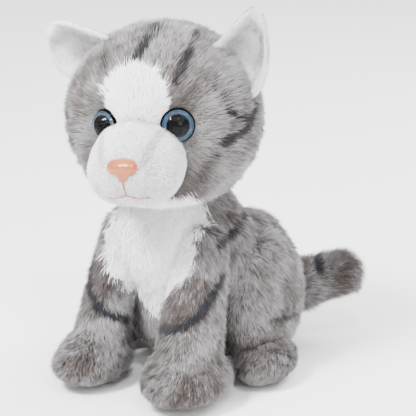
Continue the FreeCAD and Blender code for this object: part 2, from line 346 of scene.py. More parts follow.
def finer(ob):
    """Applies one level of subdivision to the mesh."""
    mod = ob.modifiers.new("Fine", "SUBSURF")
    mod.levels = mod.render_levels = 1
    dg = bpy.context.evaluated_depsgraph_get()
    me = bpy.data.meshes.new_from_object(ob.evaluated_get(dg))
    old = ob.data
    ob.modifiers.remove(mod)
    ob.data = me
    bpy.data.meshes.remove(old)
    ob.data.polygons.foreach_set("use_smooth", [True] * len(ob.data.polygons))


def ground(ob):
    """Sets the lowest part of a skin down on the floor."""
    pts = points_of(ob)
    low = pts[:, 2].min()
    pts[:, 2] -= (low - SOLE) * (1 - ramp(pts[:, 2], low, low + 8))
    set_points(ob, pts)


# ---- materials ------------------------------------------------------------------------
def material(name, rough, **values):
    """A new material; more values go on the shader sockets of those names."""
    mat = bpy.data.materials.new(name)
    mat.use_nodes = True
    tree = mat.node_tree
    bsdf = tree.nodes["Principled BSDF"]
    bsdf.inputs["Roughness"].default_value = rough
    for key, value in values.items():
        bsdf.inputs[key.replace("_", " ")].default_value = value
    return mat, tree, bsdf


def node(tree, kind, **values):
    """A new shader node; a value is a setting of the node or goes on one of its sockets."""
    n = tree.nodes.new(kind)
    for key, value in values.items():
        if hasattr(n, key):
            setattr(n, key, value)
        else:
            n.inputs[key.replace("_", " ")].default_value = value
    return n


def mottled(name, low, high, scale, rough, bump=0.0, **values):
    """A surface whose colour wanders between two tones with a fine noise."""
    mat, tree, bsdf = material(name, rough, **values)
    coords = node(tree, "ShaderNodeTexCoord")
    noise = node(tree, "ShaderNodeTexNoise", Scale=scale, Detail=4.0)
    tree.links.new(coords.outputs["Object"], noise.inputs["Vector"])
    tones = node(tree, "ShaderNodeValToRGB")
    for stop, place, tone in zip(tones.color_ramp.elements, (0.35, 0.65), (low, high)):
        stop.position = place
        stop.color = (*tone, 1)
    tree.links.new(noise.outputs["Fac"], tones.inputs["Fac"])
    tree.links.new(tones.outputs["Color"], bsdf.inputs["Base Color"])
    if bump:
        relief = node(tree, "ShaderNodeBump", Strength=bump, Distance=0.0005)
        tree.links.new(noise.outputs["Fac"], relief.inputs["Height"])
        tree.links.new(relief.outputs["Normal"], bsdf.inputs["Normal"])
    return mat


def pile_material():
    """Colour painted on each hair, broken up a little by noise."""
    mat, tree, bsdf = material("pile", 0.85, Specular_IOR_Level=0.25, Sheen_Weight=0.25,
                               Sheen_Roughness=0.5)
    paint = node(tree, "ShaderNodeAttribute", attribute_name="paint")
    coords = node(tree, "ShaderNodeTexCoord")
    noise = node(tree, "ShaderNodeTexNoise", Scale=900.0, Detail=2.0)
    tree.links.new(coords.outputs["Object"], noise.inputs["Vector"])
    spread = node(tree, "ShaderNodeMapRange", From_Min=0.3, From_Max=0.7, To_Min=0.88, To_Max=1.08)
    tree.links.new(noise.outputs["Fac"], spread.inputs["Value"])
    mix = node(tree, "ShaderNodeVectorMath", operation="SCALE")
    tree.links.new(paint.outputs["Color"], mix.inputs[0])
    tree.links.new(spread.outputs["Result"], mix.inputs["Scale"])
    tree.links.new(mix.outputs["Vector"], bsdf.inputs["Base Color"])
    return mat


PILE_MAT = pile_material()
GREY_CLOTH = mottled("grey_cloth", (0.13, 0.115, 0.105), (0.24, 0.22, 0.21), 160.0, 0.95, 0.4)
WHITE_CLOTH = mottled("white_cloth", (0.62, 0.62, 0.63), (0.74, 0.74, 0.75), 260.0, 0.95, 0.4)


def set_material(ob, mat):
    ob.data.materials.clear()
    ob.data.materials.append(mat)
    return ob


# ---- pile -----------------------------------------------------------------------------
TAUPE, SILVER = vec(0.052, 0.041, 0.037), vec(0.375, 0.365, 0.375)
INK = vec(0.016, 0.016, 0.020)  # the sprayed stripes
WHITE_ROOT, WHITE_TIP = vec(0.78, 0.78, 0.79), vec(0.95, 0.95, 0.955)
RIBBON_UV = np.array([[0.1, 0.1], [0.9, 0.1], [0.8, 0.5], [0.2, 0.5],
                      [0.2, 0.5], [0.8, 0.5], [0.5, 0.9]])


def triangles(ob):
    me = ob.data
    me.calc_loop_triangles()
    tri = np.zeros(len(me.loop_triangles) * 3, int)
    me.loop_triangles.foreach_get("vertices", tri)
    nor = np.zeros(len(me.vertices) * 3)
    me.vertices.foreach_get("normal", nor)
    return points_of(ob), tri.reshape(-1, 3), nor.reshape(-1, 3)


def scatter(ob, per_mm2, rng):
    """Even random points on a mesh and the smooth normals there."""
    pts, tri, nor = triangles(ob)
    a, b, c = pts[tri[:, 0]], pts[tri[:, 1]], pts[tri[:, 2]]
    area = np.linalg.norm(np.cross(b - a, c - a), axis=1) / 2
    count = int(area.sum() * per_mm2)
    pick = rng.choice(len(tri), count, p=area / area.sum())
    u, v = rng.random(count), rng.random(count)
    over = u + v > 1
    u[over], v[over] = 1 - u[over], 1 - v[over]
    w = 1 - u - v
    corner = [x[:, None] for x in (w, u, v)]
    at = sum(k * pts[tri[pick, i]] for i, k in enumerate(corner))
    normal = sum(k * nor[tri[pick, i]] for i, k in enumerate(corner))
    return at, unit(normal)


def tangent(flow, normal):
    """The part of a direction that lies along the surface."""
    flow = flow - (flow * normal).sum(-1, keepdims=True) * normal
    return unit(flow)


def strands(at, normal, flow, length, lay, rng, ruffle):
    """Root, middle and tip of every hair, and the way it widens."""
    n = len(at)
    flow = tangent(flow, normal)
    tuft = np.stack([waves(at, 7.0, seed) for seed in (31, 32, 33)], 1)
    loose = rng.normal(size=(n, 3)) * 0.13 + tuft * ruffle
    length = (length * rng.uniform(0.75, 1.15, n))[:, None]
    lay = np.clip(lay + rng.normal(size=n) * 0.07, 0, 1.35)[:, None]
    first = unit(normal * np.cos(lay * 0.85) + flow * np.sin(lay * 0.85) + loose * 0.5)
    second = unit(normal * np.cos(lay * 1.15) + flow * np.sin(lay * 1.15) + loose)
    middle = at + first * length * 0.5
    tip = middle + second * length * 0.5
    side = unit(np.cross(flow, normal) + normal * rng.normal(size=(n, 1)) * 0.4)
    return at - normal * 0.6, middle, tip, side


def hair_mesh(name, points, side, width, shade, paint):
    """One mesh of ribbons, each a quad and a pointed end with 5 corners in all."""
    root, middle, tip = points
    n = len(root)
    w = width[:, None] / 2
    verts = np.stack([root - side * w, root + side * w, middle - side * w * 0.85,
                      middle + side * w * 0.85, tip], 1)
    verts[..., 2] = np.maximum(verts[..., 2], HAIR_LOW)
    me = bpy.data.meshes.new(name)
    me.vertices.add(n * 5)
    me.vertices.foreach_set("co", (verts * MM).astype(np.float32).ravel())
    base = np.arange(n)[:, None] * 5
    loops = np.concatenate([base + np.array([[0, 1, 3, 2]]), base + np.array([[2, 3, 4]])], 1)
    me.loops.add(n * 7)
    me.loops.foreach_set("vertex_index", loops.ravel().astype(np.int32))
    me.polygons.add(n * 2)
    start = np.arange(n)[:, None] * 7 + np.array([[0, 4]])
    me.polygons.foreach_set("loop_start", start.ravel().astype(np.int32))
    me.polygons.foreach_set("loop_total", np.tile([4, 3], n).astype(np.int32))
    me.polygons.foreach_set("use_smooth", np.ones(n * 2, bool))
    me.update(calc_edges=True)
    colour = paint[:, [0, 0, 1, 1, 2]]
    rgba = np.concatenate([np.clip(colour, 0, 1), np.ones((n, 5, 1))], 2)
    attr = me.color_attributes.new("paint", "FLOAT_COLOR", "POINT")
    attr.data.foreach_set("color", rgba.astype(np.float32).ravel())
    cells = math.ceil(math.sqrt(n))
    cell = np.stack([np.arange(n) % cells, np.arange(n) // cells], 1)
    uv = (cell[:, None, :] + RIBBON_UV[None]) / cells
    layer = me.uv_layers.new(name="OFBake")
    layer.data.foreach_set("uv", uv.astype(np.float32).ravel())
    me.normals_split_custom_set_from_vertices(np.repeat(shade, 5, 0).tolist())
    ob = bpy.data.objects.new(name, me)
    bpy.context.scene.collection.objects.link(ob)
    me.materials.append(PILE_MAT)
    return ob


def pile(name, at, normal, flow, length, width, lay, painter, rng, ruffle=0.16):
    """Hair over a skin, as meshes small enough to hand on.

    painter gives the colours at the root, middle and tip from the places of root and tip."""
    points = strands(at, normal, flow, length, lay, rng, ruffle)
    root, middle, tip, side = points
    up = unit(tip - root)
    out = unit(np.cross(side, up))
    out *= np.where((out * normal).sum(-1, keepdims=True) < 0, -1, 1)
    shade = unit(normal * 0.7 + out * 0.4)
    paint = np.stack(painter(at, tip), 1)
    paint *= rng.uniform(0.88, 1.10, (len(at), 1, 1))
    width = width * rng.uniform(0.8, 1.2, len(at))
    parts = max(1, math.ceil(len(at) / HAIRS_PER_MESH))
    order = np.argsort(at[:, 0])
    made = []
    for k, ids in enumerate(np.array_split(order, parts)):
        label = name if parts == 1 else "%s_%d" % (name, k + 1)
        some = (root[ids], middle[ids], tip[ids])
        made.append(hair_mesh(label, some, side[ids], width[ids], shade[ids], paint[ids]))
    return made


def stripe(p, pts, half_width):
    """How strongly each point lies on an airbrushed stripe."""
    d = line_distance(p, pts) + waves(p, 6.0, 71) * 0.4
    return 1 - ramp(d, half_width * 0.7, half_width * 1.7)


def mirrored(pts):
    return [flip(q, -1) for q in pts]


def both(p, pts, half_width):
    """The same stripe on both sides of the cat."""
    return np.maximum(stripe(p, pts, half_width), stripe(p, mirrored(pts), half_width))


def pick(mask, yes, no):
    return np.where(mask[:, None], yes, no)


def plush_colours(root, tip, dark_at, white_at, rng, silver=0.0, painted_shade=None):
    """Root, middle and tip colours of grey pile, with sprayed stripes, white panels and an optional
    painted shade.

    The white panels are sewn, so the root decides; stripes are sprayed on the tips."""
    n = len(root)
    light = 0.5 + silver + 0.28 * waves(root, 30, 41) + 0.19 * waves(root, 9.0, 42)
    light = light + 0.17 * waves(root, 3.0, 43) + rng.normal(size=n) * 0.24
    light = np.clip(light, 0, 1)[:, None]
    low = TAUPE * (0.75 + 0.45 * light)
    high = TAUPE * 1.3 * (1 - light) + SILVER * light
    # painted shade: this weight turns the tips towards taupe where shade is painted
    if painted_shade is not None:
        high = high * (1 - painted_shade[:, None]) + TAUPE * 1.2 * painted_shade[:, None]
    pale = white_at(root) > rng.random(n)
    ink = np.where(pale, 0, dark_at(tip))[:, None]
    low, high = pick(pale, WHITE_ROOT, low), pick(pale, WHITE_TIP, high)
    middle = low * 0.4 + high * 0.6
    cover = np.clip(ink * 1.6, 0, 1)
    high = high * (1 - cover) + INK * cover
    cover = np.clip(ink * 1.4 - 0.1, 0, 1)
    middle = middle * (1 - cover) + INK * cover
    return low, middle, high


def white_colours(shade):
    """Root, middle and tip colours of short white pile under a shade from 0 to 1."""
    low, high = WHITE_ROOT * shade[:, None] * 0.7, WHITE_TIP * shade[:, None]
    return low, (low + high) / 2, high


# ---- where the colours lie ---------------------------------------------------------------
BROW_STRIPES = (                # each a line on the head's frame and a half width
    ([(0.5, -31, 33), (1.5, -21, 40), (3, -5, 46)], 2.5),
    ([(20.5, -32, 25), (23, -20, 35), (22, 0, 42)], 1.8),
    ([(-17, -27, 32), (-22.5, -6, 40)], 1.8),
)
CHEEK_STRIPES = (               # the same, on both cheeks
    ([(49, -1, 4), (47, -11, -4), (40, -24, -8)], 2.3),
    ([(42, -21, 7), (47, -10, 1)], 1.9),
)


def head_dark(q):
    """Where the head is sprayed dark, in the head's frame."""
    dark = np.zeros(len(q))
    for pts, width in BROW_STRIPES:
        dark = np.maximum(dark, stripe(q, pts, width))
    for pts, width in CHEEK_STRIPES:
        dark = np.maximum(dark, both(q, pts, width))
    return dark


def blaze(q):
    """The white patch between and above the eyes, in the head's frame."""
    x, z = np.abs(q[:, 0]), q[:, 2]
    half_width = 14.5 * np.sqrt(np.clip(1 - ((z - 13) / 15.5) ** 2, 0, 1))
    half_width = np.where(z < 13, np.maximum(12.5, half_width), half_width)
    inside = 1 - ramp(x - half_width + waves(q, 7, 51) * 1.0, -1.2, 0.8)
    band = ramp(z, -16, -12) * (1 - ramp(z, 28, 30))
    return inside * band * (q[:, 1] < 0)


def head_white(q):
    return np.maximum(blaze(q), throat(q))


def throat(q):
    """The pale panel under the chin, in the head's frame."""
    side = 1 - ramp(np.abs(q[:, 0]), 15, 20)
    return ramp(-q[:, 2], 28, 32) * ramp(-q[:, 1], 0, 10) * side


def bib(p):
    """The white chest, in the row frame: wide at the neck, pointed between the legs."""
    z = p[:, 2]
    half_width = 26 * np.clip((z - 35) / 32, 0, 1) ** 0.75 - 0.25 * np.clip(z - 82, 0, 30)
    half_width = half_width + np.where(p[:, 0] > 0, 1.5, -0.5)
    edge = np.abs(p[:, 0]) - half_width + waves(p, 8, 52) * 1.0
    front = ramp(-p[:, 1], 27, 31)
    return (1 - ramp(edge, -1.2, 0.8)) * front * (z > 34)


SHOULDER_STRIPE = [(30, 3, 88), (35, -9, 85), (37, -21, 80), (37, -35, 77)]
HAUNCH_STRIPE = [(51, 18, 29), (54, 3, 31), (53, -6, 32)]
RIGHT_LEG_STRIPE = [(-35, -46, 64), (-33, -53, 54), (-28, -58, 45), (-21, -60, 40),
                    (-15, -57, 36), (-11, -48, 32)]
LEFT_LEG_STRIPE = [(41, -37, 61), (41, -46, 55), (39, -55, 47), (34, -61, 42),
                   (26, -63, 39), (14, -60, 37)]
TAIL_RING = (41.0, 63.5, 34.8)


def body_dark(p):
    """Where the body, legs and tail are sprayed dark, in the row frame."""
    dark = both(p, SHOULDER_STRIPE, 2.2)
    dark = np.maximum(dark, both(p, HAUNCH_STRIPE, 1.5) * 0.8)
    for pts in (RIGHT_LEG_STRIPE, LEFT_LEG_STRIPE):
        dark = np.maximum(dark, stripe(p, pts, 2.1))
    ring = np.abs((p - vec(*TAIL_RING)) @ unit(vec(*TAIL_WAY)))
    on_top = ramp(p[:, 2], 36, 44) * (p[:, 0] > 28) * (p[:, 1] > 45)
    return np.maximum(dark, (1 - ramp(ring, 1.5, 3.5)) * on_top * 0.8)


# ---- floor, light and camera ----------------------------------------------------------------
VIEW_TURN, VIEW_RISE, VIEW_FAR = 34, 17, 0.8    # degrees, degrees, metres
VIEW_AIM, LAMP_AIM = (0.0133, -0.0111, 0.0872), (0, 0, 0.09)


def floor():
    """Pale paper under the cat."""
    bpy.ops.mesh.primitive_plane_add(size=6.0, location=(0, 0, -0.0002))
    ob = bpy.context.object
    ob.name = "floor"
    mat, tree, bsdf = material("floor_paper", 0.9)
    bsdf.inputs["Base Color"].default_value = (0.93, 0.93, 0.93, 1)
    set_material(ob, mat)


def lamp(name, spot, size, watts):
    """A round area light turned towards the middle of the cat."""
    data = bpy.data.lights.new(name, "AREA")
    data.shape = "DISK"
    data.size = size
    data.energy = watts
    ob = bpy.data.objects.new(name, data)
    ob.location = spot
    way = Vector(LAMP_AIM) - Vector(spot)
    ob.rotation_mode = "QUATERNION"
    ob.rotation_quaternion = way.to_track_quat("-Z", "Y")
    bpy.context.scene.collection.objects.link(ob)


def camera():
    data = bpy.data.cameras.new("camera")
    data.sensor_width = 36
    data.lens = 137.2
    ob = bpy.data.objects.new("camera", data)
    a, e = math.radians(VIEW_TURN), math.radians(VIEW_RISE)
    back = Vector((math.sin(a) * math.cos(e), -math.cos(a) * math.cos(e), math.sin(e)))
    ob.location = Vector(VIEW_AIM) + back * VIEW_FAR
    ob.rotation_mode = "QUATERNION"
    ob.rotation_quaternion = (-back).to_track_quat("-Z", "Y")
    data.clip_start, data.clip_end = 0.05, 20
    bpy.context.scene.collection.objects.link(ob)
    bpy.context.scene.camera = ob


def studio():
    """A dim room with a wide bright ceiling."""
    world = bpy.data.worlds.new("studio")
    world.use_nodes = True
    tree = world.node_tree
    coords = node(tree, "ShaderNodeTexCoord")
    split = node(tree, "ShaderNodeSeparateXYZ")
    tree.links.new(coords.outputs["Generated"], split.inputs["Vector"])
    fade = node(tree, "ShaderNodeValToRGB")
    stops = fade.color_ramp.elements
    stops[0].position, stops[0].color = 0.0, (0.36, 0.36, 0.365, 1)
    stops[1].position, stops[1].color = 0.75, (1, 1, 1, 1)
    low = stops.new(0.22)
    low.color = (0.28, 0.28, 0.285, 1)
    tree.links.new(split.outputs["Z"], fade.inputs["Fac"])
    back = tree.nodes["Background"]
    tree.links.new(fade.outputs["Color"], back.inputs["Color"])
    back.inputs["Strength"].default_value = 2.3
    bpy.context.scene.world = world


def lights():
    studio()
    lamp("key", (-0.15, -0.75, 0.95), 0.28, 38.0)
    lamp("fill", (1.0, -0.6, 0.6), 0.6, 6.0)
    lamp("rim", (0.3, 0.8, 0.8), 0.6, 16.0)
    lamp("catch", (0.45, -0.42, 0.9), 0.14, 5.0)


floor()
lights()
camera()


# ---- head ---------------------------------------------------------------------------------------
def head_skin():
    skin = blob("head_cover", skull_field, (0, 4, 0), 5)
    q = points_of(skin)
    seam = 1 - ramp(np.abs(q[:, 0]), 1.5, 4.0)
    seam = np.where(q[:, 1] < -10, 0.4 * seam, seam)
    for name, side in SIDES:
        near_eye = np.linalg.norm(q - eye_at(side), axis=1)
        seam = np.maximum(seam, 1 - ramp(near_eye, 13, 19))
    puff(skin, seam, 1.2)
    finer(skin)
    set_points(skin, head_out(points_of(skin)))
    return set_material(skin, GREY_CLOTH)


def ear_root(q, side):
    """Distance to the line where an ear is sewn in."""
    return f_limb(q, EARS[side][0], 0, EARS[side][1], 0)


def head_pile(skin):
    rng = np.random.default_rng(21)
    at, normal = scatter(skin, 6.5, rng)
    q = head_in(at)
    keep = muzzle_field(q, 2.0) > 0
    eye_gap = np.full(len(q), 1e9)
    for name, side in SIDES:
        rel = q - eye_at(side)
        along = rel @ eye_axis(side)
        radial = np.linalg.norm(rel - along[:, None] * eye_axis(side), axis=1)
        radial = np.where(q[:, 1] < 0, radial, 99)
        keep &= radial > EYE_RAD - 0.6
        eye_gap = np.minimum(eye_gap, radial)
        keep &= ear_root(q, side) > 2.5
    keep &= np.linalg.norm(at - vec(*DOME_C), axis=1) > DOME_R - 3
    at, normal, q, eye_gap = at[keep], normal[keep], q[keep], eye_gap[keep]
    flow = q - vec(0, -62, -8)
    flow[:, 2] -= np.abs(q[:, 0]) * 0.25 * (q[:, 1] < 10)
    back = ramp(q[:, 1], -18, 16)[:, None]
    flow = unit(flow) * (1 - back) + vec(0, 0.7, -1) * back
    flow = flow @ HEAD_M.T
    near = ramp(eye_gap, 8.5, 17)
    white = head_white(q)
    length = (2.8 + 4.8 * near) * np.where(white > 0.5, 0.85, 1.0)
    lay = 1.0 + 0.12 * (1 - near) + 0.15 * back[:, 0]
    # painted shade: the tips turn towards taupe above and beside each eye and beside the muzzle, where
    # shade falls
    face_shade = (1 - ramp(eye_gap, 8, 16)) * ramp(q[:, 2], -2, 12) * 0.75
    beside = (1 - ramp(muzzle_field(q), 3, 14)) * 0.6
    face_shade = np.maximum(face_shade, beside)

    def painter(root, tip):
        dark = lambda x: head_dark(head_in(x))
        pale = lambda x: head_white(head_in(x))
        return plush_colours(root, tip, dark, pale, rng, 0.0, face_shade)

    return pile("head_pile", at, normal, flow, length, 0.42, lay, painter, rng)


head_cover = head_skin()
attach(head_cover, "head")
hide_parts("head_panel_left", "head_panel_right", "blaze_panel", "chin_panel",
            "head_fill")
for piece in head_pile(head_cover):
    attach(piece, "head")


def muzzle_skin():
    skin = blob("muzzle_cover", muzzle_field, (0, -38, -14), 5, 40)
    finer(skin)
    set_points(skin, head_out(points_of(skin)))
    return set_material(skin, WHITE_CLOTH)


def muzzle_pile(skin):
    rng = np.random.default_rng(22)
    at, normal = scatter(skin, 12.0, rng)
    q = head_in(at)
    keep = (skull_field(q, 3.0) > -1) & (q[:, 1] < -28)
    at, normal, q = at[keep], normal[keep], q[keep]
    flow = (q - vec(0, -66, -8)) @ HEAD_M.T
    wander = waves(q, 5, 63) * 0.4
    seam = 1 - ramp(np.abs(q[:, 2] + wander - (7.5 - np.abs(q[:, 0]) * 0.25)), 0.8, 2.8)
    flat = q * vec(1, 0, 1)
    line = [(14, 0, 3), (11.5, 0, -3), (9, 0, -9)]
    gap = np.minimum(line_distance(flat, line), line_distance(flat, mirrored(line)))
    crease = 1 - ramp(gap, 0.8, 3.0)
    low = ramp(-q[:, 2], 12, 34)
    patch = 0.5 + 0.5 * waves(q, 7, 61)
    tuft = 0.5 + 0.5 * waves(q, 1.6, 62)
    # painted shade in the seam and the creases and towards the bottom of the muzzle; patch, tuft and
    # the random factor are tone that differs at random
    shade = 1.06 - 0.30 * np.maximum(seam, crease) - 0.18 * low - 0.08 * patch - 0.18 * tuft
    shade = np.clip(shade * rng.uniform(0.8, 1.1, len(q)), 0.2, 1)
    length = 2.3 - 1.1 * seam

    def painter(root, tip):
        return white_colours(shade)

    return pile("muzzle_pile", at, normal, flow, length, 0.36, 0.75, painter, rng, 0.22)


muzzle_cover = muzzle_skin()
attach(muzzle_cover, "head")
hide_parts("muzzle_panel")
for piece in muzzle_pile(muzzle_cover):
    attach(piece, "head")


# ---- ears ----------------------------------------------------------------------------------------
EAR_COLS, EAR_ROWS = 28, 26


def ear_frame(side):
    """The ends of an ear's base, its tip, and the ear's own axes, in the head's frame."""
    a, b, tip = (vec(*p) for p in EARS[side])
    run = unit(b - a)
    mid = (a + b) / 2
    rise = tip - mid
    rise = unit(rise - run * (rise @ run))
    face = np.cross(run, rise) * side
    return a, b, tip, mid, run, rise, face


def ear_grid(side, slim):
    """Points over the ear from base to tip, how far each is bent forward, and its way to the rim."""
    a, b, tip, mid, run, rise, face = ear_frame(side)
    width = np.linalg.norm(b - a) / 2 - 0.8
    height = (tip - mid) @ rise - 1.8
    lean = (tip - mid) @ run
    uu, vv = np.meshgrid(np.linspace(-1, 1, EAR_COLS), np.linspace(-0.14, 1, EAR_ROWS))
    high = np.clip(vv, 0, 1)
    half = (width - slim) * (1 - high**2.1) ** 0.66 + 0.3
    shift = lean * high**1.15 + 2.2 * np.sin(high * math.pi)
    x = uu * half + shift
    y = vv * (height - slim)
    rim = np.minimum(1 - np.abs(uu), (1 - vv) * 1.4)
    cup = (uu**2) * half * 0.34 * (1 - 0.5 * high)
    bend = -2.0 + cup - 1.5 * high**2
    flat = mid + x[..., None] * run + y[..., None] * rise
    return flat, bend, rim, face


def sheet_faces(rows, cols):
    """Faces of a closed sheet: a front grid, a back grid and the strip round the rim."""
    n = rows * cols
    faces = []
    for r in range(rows - 1):
        for c in range(cols - 1):
            i = r * cols + c
            quad = (i, i + 1, i + 1 + cols, i + cols)
            faces.append(quad)
            faces.append(tuple(n + k for k in reversed(quad)))
    border = [r * cols for r in range(rows)]
    border += [(rows - 1) * cols + c for c in range(1, cols)]
    border += [r * cols + cols - 1 for r in range(rows - 2, -1, -1)]
    border += [c for c in range(cols - 2, 0, -1)]
    for i, j in zip(border, border[1:] + border[:1]):
        faces.append((i, j, n + j, n + i))
    return faces


def face_outwards(ob):
    """Turns the normals of a closed mesh outwards."""
    bpy.context.view_layer.objects.active = ob
    bpy.ops.object.select_all(action="DESELECT")
    ob.select_set(True)
    bpy.ops.object.mode_set(mode="EDIT")
    bpy.ops.mesh.select_all(action="SELECT")
    bpy.ops.mesh.normals_make_consistent(inside=False)
    bpy.ops.object.mode_set(mode="OBJECT")


def ear_shell(name, side, front):
    """One cloth of an ear: the white lining in front or the plush behind it."""
    flat, bend, rim, face = ear_grid(side, 0.0 if front else 1.0)
    edge = np.clip(rim / 0.25, 0, 1)
    thick = np.sqrt(np.clip(1 - (1 - edge) ** 2, 0, 1))
    hollow = ramp(rim, 0.12, 0.6) * 2.6
    if front:
        depth = bend + thick * 2.0 - hollow
        back = bend - thick * 0.9 - hollow
    else:
        depth = bend - thick * 1.9 - hollow
        back = bend - hollow + thick * 0.2
    outer = flat + depth[..., None] * face
    inner = flat + back[..., None] * face
    verts = np.concatenate([outer.reshape(-1, 3), inner.reshape(-1, 3)])
    ob = make_mesh(name, head_out(verts), sheet_faces(EAR_ROWS, EAR_COLS))
    face_outwards(ob)
    return ob


def ear_pile(name, ob, side, front):
    rng = np.random.default_rng(40 + side + 3 * front)
    at, normal = scatter(ob, 11.0 if front else 7.0, rng)
    a, b, tip, mid, run, rise, face = ear_frame(side)
    out = face if front else -face
    q = head_in(at)
    facing = (normal @ HEAD_M) @ out
    keep = (facing > (-0.7 if front else 0.1)) & (skull_field(q, PILE) > -1.5)
    at, normal = at[keep], normal[keep]
    n = len(at)
    flow = np.tile(HEAD_M @ rise, (n, 1))

    def white(root, end):
        x = head_in(root) - mid
        reach = np.linalg.norm(tip - mid)
        # painted shade: the white lining is greyed towards the middle of the ear's hollow
        hollow_shade = 1 - ramp(np.linalg.norm(x - (tip - mid) * 0.3, axis=1) / reach, 0.1, 0.5)
        return white_colours(1 - 0.45 * hollow_shade)

    def grey(root, end):
        none = lambda x: np.zeros(len(x))
        return plush_colours(root, end, none, none, rng, 0.12)

    if front:
        return pile(name, at, normal, flow, np.full(n, 1.7), 0.34, 0.7, white, rng, 0.2)
    return pile(name, at, normal, flow, np.full(n, 2.8), 0.4, 0.9, grey, rng, 0.2)


for ear_name, ear_side in SIDES:
    body = "ear_" + ear_name
    for part, front, slot in (("back", False, "grey_plush"), ("lining", True, "short_white_plush")):
        shell = ear_shell("%s_%s_cover" % (body, part), ear_side, front)
        set_material(shell, WHITE_CLOTH if front else GREY_CLOTH)
        furs = ear_pile("%s_%s_pile" % (body, part), shell, ear_side, front)
        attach(shell, body)
        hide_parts("%s_%s" % (body, part))
        for piece in furs:
            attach(piece, body)


# ---- body ----------------------------------------------------------------------------------------
SILVER_OF = {"torso": -0.12, "leg": -0.17, "haunch": -0.10, "tail": -0.30}


def torso_skin():
    skin = blob("body_cover", torso_field, (0, -8, 52), 5)
    p = points_of(skin)
    seam = 1 - ramp(np.abs(p[:, 0]), 1.5, 4)
    seam = np.where(p[:, 1] < -10, 0, seam)
    seam = np.maximum(seam, 1 - ramp(p[:, 2], 3, 8))
    puff(skin, seam, 1.2)
    finer(skin)
    ground(skin)
    return set_material(skin, GREY_CLOTH)


def row_flow(p, kind):
    """The way the pile is combed on each kind of part."""
    flow = np.tile(vec(0, 0.12, -1), (len(p), 1))
    if kind == "leg":
        toe = (1 - ramp(p[:, 2], 14, 34))[:, None]
        flow = vec(0, 0.1, -1) * (1 - toe) + vec(0, -0.35, -1) * toe
    if kind == "haunch":
        toe = (1 - ramp(p[:, 2], 14, 28))[:, None]
        flow = vec(0, 0.35, -1) * (1 - toe) + vec(0, -0.7, -0.8) * toe
    if kind == "tail":
        way = unit(vec(*TAIL_WAY))
        end = ramp(p @ way - vec(*TAIL[2]) @ way, -2, 9)
        flow = vec(18, 12, 3) * (1 - end[:, None]) + vec(2, -4, -18) * end[:, None]
    return flow


def others_cover(p, skip):
    """True where a point lies inside another part, so its hair would not show."""
    slack = 1.5
    hidden = np.zeros(len(p), bool)
    q = head_in(p)
    if skip != "head":
        hidden |= skull_field(q) < -slack
    if skip != "torso":
        hidden |= torso_field(p) < -slack
    for name, side in SIDES:
        if skip != "leg_" + name:
            hidden |= leg_field(p, side) < -slack
        if skip != "haunch_" + name:
            hidden |= haunch_field(p, side) < -slack
    if skip != "tail":
        hidden |= tail_field(p) < -slack
    return hidden


def row_pile(name, skin, kind, skip, seed, per_mm2, length, lay=1.0):
    """The pile of a part of the body; skip names the part itself."""
    rng = np.random.default_rng(seed)
    at, normal = scatter(skin, per_mm2, rng)
    keep = ~others_cover(at, skip)
    keep &= ~((normal[:, 2] < -0.8) & (at[:, 2] < 8))
    at, normal = at[keep], normal[keep]
    flow = row_flow(at, kind)
    low = ramp(at[:, 2], 0, 22)
    white = bib(at) > 0.5
    size = length * (0.4 + 0.6 * low) * np.where(white, 0.68, 1.0)
    lay = lay + 0.2 * (1 - low) + np.where(white, 0.1, 0)
    silver = SILVER_OF[kind]

    def painter(root, tip):
        return plush_colours(root, tip, body_dark, bib, rng, silver)

    return pile(name, at, normal, flow, size, 0.42, lay, painter, rng)


body_cover = torso_skin()
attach(body_cover, "torso")
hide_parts("back_panel_left", "back_panel_right", "chest_panel", "seat_panel",
            "body_fill", "pellet_pouch", "pellet_fill", "closing_seam_thread", "neck_gusset")
for piece in row_pile("body_pile", body_cover, "torso", "torso", 23, 6.0, 7.0):
    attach(piece, "torso")

# front legs
for leg_name, leg_side in SIDES:
    skin = blob("front_leg_%s_cover" % leg_name, lambda p: leg_field(p, leg_side),
                flip((25, -48, 34), leg_side), 5, 80)
    p = points_of(skin)
    seam = 1 - ramp(np.abs(p[:, 0] - 26 * leg_side), 1.0, 3.0)
    seam = np.maximum(seam * 0.8, 1 - ramp(p[:, 2], 2, 6))
    puff(skin, seam, 0.9)
    finer(skin)
    ground(skin)
    set_material(skin, GREY_CLOTH)
    body = "front_leg_" + leg_name
    furs = row_pile(body + "_pile", skin, "leg", "leg_" + leg_name, 24 + leg_side, 6.0, 6.6)
    for piece in [skin] + furs:
        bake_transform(piece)
    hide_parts(*["%s_%s" % (body, part) for part in ("outer_panel", "inner_panel", "fill")])

# hind legs
for hip_name, hip_side in SIDES:
    skin = blob("hind_leg_%s_cover" % hip_name, lambda p: haunch_field(p, hip_side),
                flip((39, 0, 28), hip_side), 5, 70)
    p = points_of(skin)
    seam = np.maximum(1 - ramp(p[:, 2], 2, 6), 1 - ramp(np.abs(p[:, 2] - 23), 1, 3))
    puff(skin, seam, 0.9)
    finer(skin)
    ground(skin)
    set_material(skin, GREY_CLOTH)
    body = "hind_leg_" + hip_name
    furs = row_pile(body + "_pile", skin, "haunch", "haunch_" + hip_name, 28 + hip_side, 6.0, 6.6)
    for piece in [skin] + furs:
        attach(piece, body)
    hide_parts("haunch_%s_panel" % hip_name, "hind_foot_%s_panel" % hip_name,
                body + "_fill")

# tail
tail_skin = blob("tail_cover", tail_field, (29, 56, 30), 5, 50)
relax(tail_skin, 2)
finer(tail_skin)
set_material(tail_skin, GREY_CLOTH)
tail_hair = row_pile("tail_pile", tail_skin, "tail", "tail", 29, 6.5, 7.6, 0.8)
for piece in [tail_skin] + tail_hair:
    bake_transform(piece)
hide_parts("tail_root_skin", "tail_root_fill", "tail_end_skin", "tail_end_fill")


